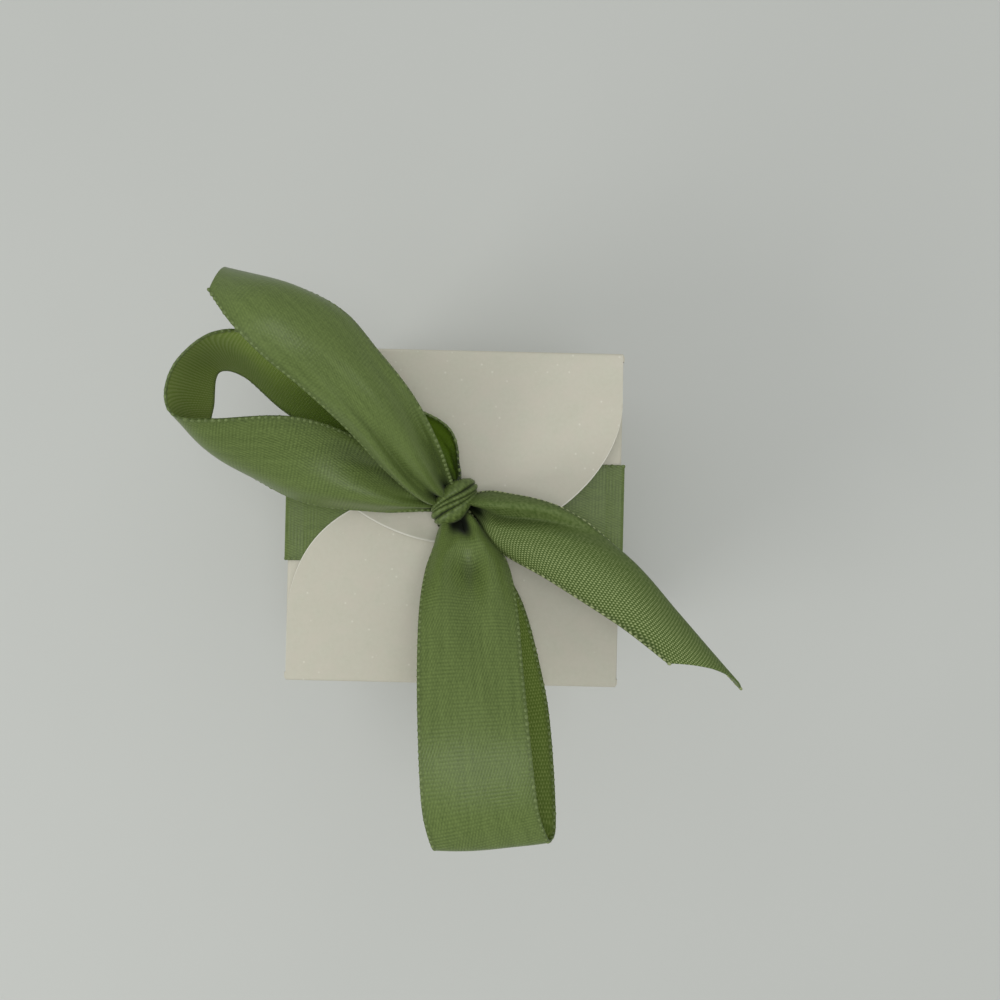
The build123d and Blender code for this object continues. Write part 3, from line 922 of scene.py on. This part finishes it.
LEFT_LOOP = [
    ((0.6, 4.6, 4.8), (-0.6, 3.4, 2.6), 0.3, 0),
    ((1.3, 8.2, 6.4), (-3.2, 5.6, 2.3), 1.0, 0),
    ((-1.5, 14.8, 9.0), (-8.8, 8.0, 2.5), 2.4, 0),
    ((-15.5, 19.5, 13.5), (-19.5, 11.5, 2.0), 1.5, 0),
    ((-27.6, 25.9, 18.0), (-27.5, 16.5, 4.0), 0.8, 0),
    ((-33.9, 26.2, 20.0), (-33.3, 21.6, 5.5), 0.8, 0),
    ((-38.9, 22.3, 20.5), (-37.5, 22.2, 5.5), 0.8, 0),
    ((-40.8, 17.6, 20.5), (-38.3, 17.2, 5.3), 0.8, 0),
    ((-39.8, 14.2, 19.4), (-38.9, 12.2, 4.5), 0.8, 0),
    ((-34.6, 13.9, 18.0), (-34.2, 7.2, 4.2), 2.2, 0),
    ((-24.0, 14.4, 15.5), (-24.3, 2.2, 5.5), 1.6, 0.7),
    ((-15.5, 12.0, 11.0), (-13.1, 0.8, 5.0), 2.0, 1.9),
    ((-8.2, 7.2, 7.0), (-7.4, 0.9, 4.4), 1.6, 1.3),
    ((-1.6, 3.3, 3.6), (-1.4, 1.2, 2.4), 0.3, 0),
]
LEFT_HOLLOW = ((-1, -0.7), (-0.45, -1), (0.45, 0.7), (1, 0))
# Painted light and shade: the loop's inside is a lighter copy of the back, for light through the ribbon,
# and darker towards the knot
lit_lining = back_material("loop_lining", LIT_LINING_LOW, LIT_LINING_HIGH, start_shade=1.0, pitch=LINING_RIB)
left_loop = bow_lines(LEFT_LOOP, LEFT_HOLLOW, gather=12, ends=(1, 1), seed=0.7)
bow_piece("bow_left_loop", *left_loop, ribbed_satin, lit_lining, edge_thread, seed=7)


# Front loop: a flat loop of the ribbon that leaves the knot towards the front, dimpled just below it,
# folds over softly and comes back underneath, a little to the right.

FRONT_LOOP = [
    ((2.6, 0.8, 2.0), (-0.6, 0.4, 2.0), 0.3, 0.3),
    ((5.3, -1.6, 5.0), (-2.0, -2.0, 5.0), 1.2, 1.5),
    ((7.6, -4.5, 7.6), (-2.7, -4.8, 7.6), 2.2, 0.3),
    ((9.3, -8.0, 10.0), (-3.7, -8.2, 10.2), 2.0, 1.9),
    ((10.5, -13.5, 14.5), (-4.1, -13.8, 15.3), 1.4, 0.7),
    ((11.4, -21.7, 19.6), (-3.8, -22.0, 20.6), 0.6, 0),
    ((12.5, -30.8, 23.6), (-3.1, -31.0, 24.6), 0.4, 0),
    ((13.7, -39.4, 24.4), (-2.3, -40.0, 25.4), 0.4, 0),
    ((15.2, -44.3, 22.6), (-1.1, -45.5, 23.5), 0.4, 0),
    ((16.0, -45.4, 20.6), (-0.4, -46.6, 21.4), 0.4, 0),
    ((16.7, -43.4, 18.0), (0.9, -44.8, 18.6), 0.4, 0),
    ((16.0, -32.2, 13.5), (0.5, -33.4, 13.5), 0.6, 0),
    ((14.8, -24.7, 9.5), (-0.5, -25.0, 9.5), 0.8, 0),
    ((11.5, -13.5, 5.0), (0.2, -13.2, 5.0), 1.6, 0),
    ((6.6, -5.6, 2.8), (-0.6, -5.8, 2.8), 0.8, 0),
    ((2.6, -0.2, 1.5), (0.0, -0.4, 1.5), 0.3, 0),
]
FRONT_DIMPLE = ((-1, 0), (-0.6, 0.4), (-0.05, -1), (0.65, 0.3), (1, 0))
shaded_lining = back_material("folded_loop_lining", SHADE_LOW, SHADE_HIGH, edge_fade=0.6)
front_loop = bow_lines(FRONT_LOOP, FRONT_DIMPLE, gather=9, ends=(1, 1), seed=1.9)
bow_piece("bow_front_loop", *front_loop, ribbed_satin, shaded_lining, edge_thread, seed=19)


# Tails: the ribbon's two cut ends. The left one arches up satin side up and curls down at its end,
# the right one lies back side up, creased lengthwise near the knot, and ends in a slanted cut.

LEFT_TAIL = [
    ((-2.2, 1.9, 2.6), (0.3, 4.2, 2.8), 0.3, 0.3),
    ((-5.6, 3.0, 7.0), (-0.7, 7.0, 7.2), 1.4, 1.6),
    ((-10.0, 7.0, 12.0), (-2.2, 11.6, 11.8), 2.4, 1.7),
    ((-15.0, 12.8, 17.5), (-5.7, 18.0, 15.5), 3.0, 1.0),
    ((-20.8, 18.2, 22.0), (-11.0, 24.5, 17.5), 3.0, 0.3),
    ((-25.8, 22.2, 25.0), (-15.6, 29.6, 19.0), 3.0, 0),
    ((-30.0, 26.4, 26.0), (-22.3, 32.9, 18.5), 3.0, 0),
    ((-33.8, 31.2, 24.0), (-34.0, 36.0, 13.0), 2.0, 0),
]
LEFT_GROOVE = ((-1, -0.4), (-0.72, 0.6), (-0.45, -0.5), (0.15, 0.3), (0.68, -0.8), (1, 0.6))
left_tail = bow_lines(LEFT_TAIL, LEFT_GROOVE, gather=10, ends=(1, 0), seed=2.4)
bow_piece("bow_left_tail", *left_tail, satin, back, edge_thread, seed=24)

RIGHT_TAIL = [
    ((2.2, 3.6, 2.2), (2.0, 1.4, 2.2), 0.3, 0.4),
    ((4.9, 4.3, 5.0), (4.4, -1.2, 4.6), 1.3, 2.0),
    ((8.6, 4.0, 7.2), (7.7, -5.0, 8.0), 2.6, 2.6),
    ((17.0, 1.7, 10.0), (15.0, -8.8, 13.0), 3.2, 1.9),
    ((25.8, -4.2, 11.0), (24.5, -14.5, 15.5), 3.8, 0),
    ((34.4, -14.2, 10.0), (29.4, -18.0, 15.2), 3.8, 0),
    ((45.8, -25.7, 7.5), (33.0, -20.8, 14.5), 3.0, 0),
]
TAIL_RIDGE = ((-1, 0), (-0.2, 0.7), (0.1, -0.8), (0.6, -0.2), (1, 0))
# Painted shade: the dots fade out towards the tail's upper edge, which leaves that side plainer and
# darker
tail_back = back_material("tail_back", BACK_LOW, BACK_HIGH, edge_fade=1.0)
pale_thread = bead_material("pale_selvedge_thread", PALE_LOW, PALE_HIGH)
right_tail = bow_lines(RIGHT_TAIL, TAIL_RIDGE, gather=8, ends=(1, 0), seed=0.3, drift=-0.035)
bow_piece("bow_right_tail", *right_tail, tail_back, satin, pale_thread, seed=3)


# Studio: pale grey table, even light from all round, a soft window at the left and a lamp nearly
# overhead that draws the satin's shine, and a camera that looks straight down on the box.

TABLE, TABLE_DARK = (0.52, 0.53, 0.507, 1), (0.49, 0.50, 0.478, 1)
LIGHT_FROM = (-0.05, 0.42, 0.90)  # the surroundings are lightest this way
LEAST_LIGHT, MOST_LIGHT = 0.39, 0.74
LIGHT_TINT = (0.98, 1.0, 0.99, 1)
LAMP_AIM = (0, 0, 0.05)
LENS, SENSOR = 34.85, 36.0  # millimetres
CAMERA_PLACE, CAMERA_TURN = (7.5 * MM, 3.0 * MM, TOP + 159.0 * MM), 1.3
points = [(x, y, 0.0) for x, y in ((-1, -1), (1, -1), (1, 1), (-1, 1))]
table_top, shader, place = new_material("table")
mottle = place.mottle(14.0, 3.0)
link(shader, Base_Color=place.mix(mottle, TABLE_DARK, TABLE), Roughness=0.6 + mottle * 0.1)
floor = piece("table", points, [(0, 1, 2, 3)], [table_top])

world = bpy.data.worlds.new("studio")
bpy.context.scene.world = world
world.use_nodes = True
sky = world.node_tree.nodes["Background"]
sky.inputs[1].default_value = 1.0
way = Shade(world.node_tree.nodes.new("ShaderNodeTexCoord").outputs["Generated"])
lean = way.node("ShaderNodeVectorMath", {"operation": "DOT_PRODUCT"}, {0: way, 1: LIGHT_FROM}, 1)
light_level = way.node("ShaderNodeMapRange", {},
                       {0: lean, 1: -1.0, 2: 1.0, 3: LEAST_LIGHT, 4: MOST_LIGHT})
tint = way.mix(light_level, (0, 0, 0, 1), LIGHT_TINT)
world.node_tree.links.new(tint.socket, sky.inputs[0])


def soft_light(name, place, size, power, colour):
    """A round area light, aimed at the box."""
    lamp = bpy.data.lights.new(name, "AREA")
    lamp.shape, lamp.size, lamp.energy, lamp.color = "DISK", size, power, colour
    made = bpy.data.objects.new(name, lamp)
    bpy.context.collection.objects.link(made)
    made.location = place
    made.rotation_euler = (Vector(LAMP_AIM) - Vector(place)).to_track_quat("-Z", "Y").to_euler()


soft_light("window", (-0.50, -0.28, 0.44), size=0.35, power=1.2, colour=(1.0, 1.0, 0.98))
soft_light("lamp", (0.08, -0.02, 0.82), size=0.30, power=1.4, colour=(1.0, 1.0, 0.99))

camera_data = bpy.data.cameras.new("camera")
camera_data.lens, camera_data.sensor_width = LENS, SENSOR
camera_data.clip_start = 0.01
camera = bpy.data.objects.new("camera", camera_data)
bpy.context.collection.objects.link(camera)
camera.location = CAMERA_PLACE
camera.rotation_euler = (0, 0, math.radians(CAMERA_TURN))
bpy.context.scene.camera = camera

bpy.context.scene.view_settings.view_transform = "Standard"
